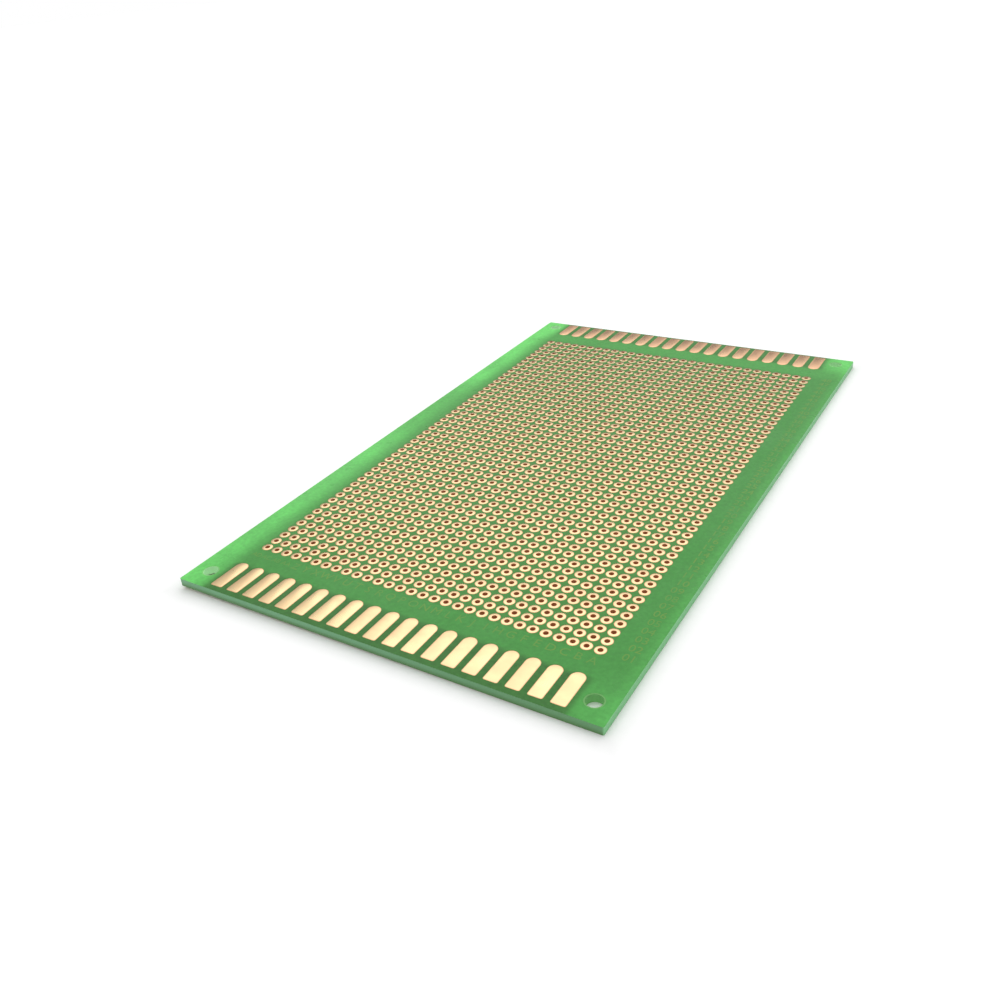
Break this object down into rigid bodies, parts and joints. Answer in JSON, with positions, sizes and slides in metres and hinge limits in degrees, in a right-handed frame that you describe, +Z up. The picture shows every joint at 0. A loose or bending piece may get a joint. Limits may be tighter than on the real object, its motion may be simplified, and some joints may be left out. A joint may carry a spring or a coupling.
{
  "type": "prototype circuit board",
  "caption": "Flat rectangular prototyping board, drilled all over on a square grid, with a ringed copper pad at each hole, contact fingers along both short ends and corner screw holes.",
  "frame": {"origin": "middle of the board's plain underside", "axes": "+X across the board, +Y along it from the front contact fingers to the rear ones, +Z up out of the copper side"},
  "size_m": [0.09, 0.15, 0.0016],
  "materials": {
    "laminate": "cut glass-epoxy, satin",
    "solder_mask": "green, glossy",
    "copper": "bare copper foil, satin"
  },
  "bodies": {
    "root": {"laminate": "laminate", "solder_mask": "solder_mask", "front_contact_fingers": "copper", "rear_contact_fingers": "copper", "pad_column_01": "copper", "pad_column_02": "copper", "pad_column_03": "copper", "pad_column_04": "copper", "pad_column_05": "copper", "pad_column_06": "copper", "pad_column_07": "copper", "pad_column_08": "copper", "pad_column_09": "copper", "pad_column_10": "copper", "pad_column_11": "copper", "pad_column_12": "copper", "pad_column_13": "copper", "pad_column_14": "copper", "pad_column_15": "copper", "pad_column_16": "copper", "pad_column_17": "copper", "pad_column_18": "copper", "pad_column_19": "copper", "pad_column_20": "copper", "pad_column_21": "copper", "pad_column_22": "copper", "pad_column_23": "copper", "pad_column_24": "copper", "pad_column_25": "copper", "pad_column_26": "copper", "pad_column_27": "copper", "pad_column_28": "copper", "pad_column_29": "copper", "pad_column_30": "copper"}
  },
  "joints": []
}
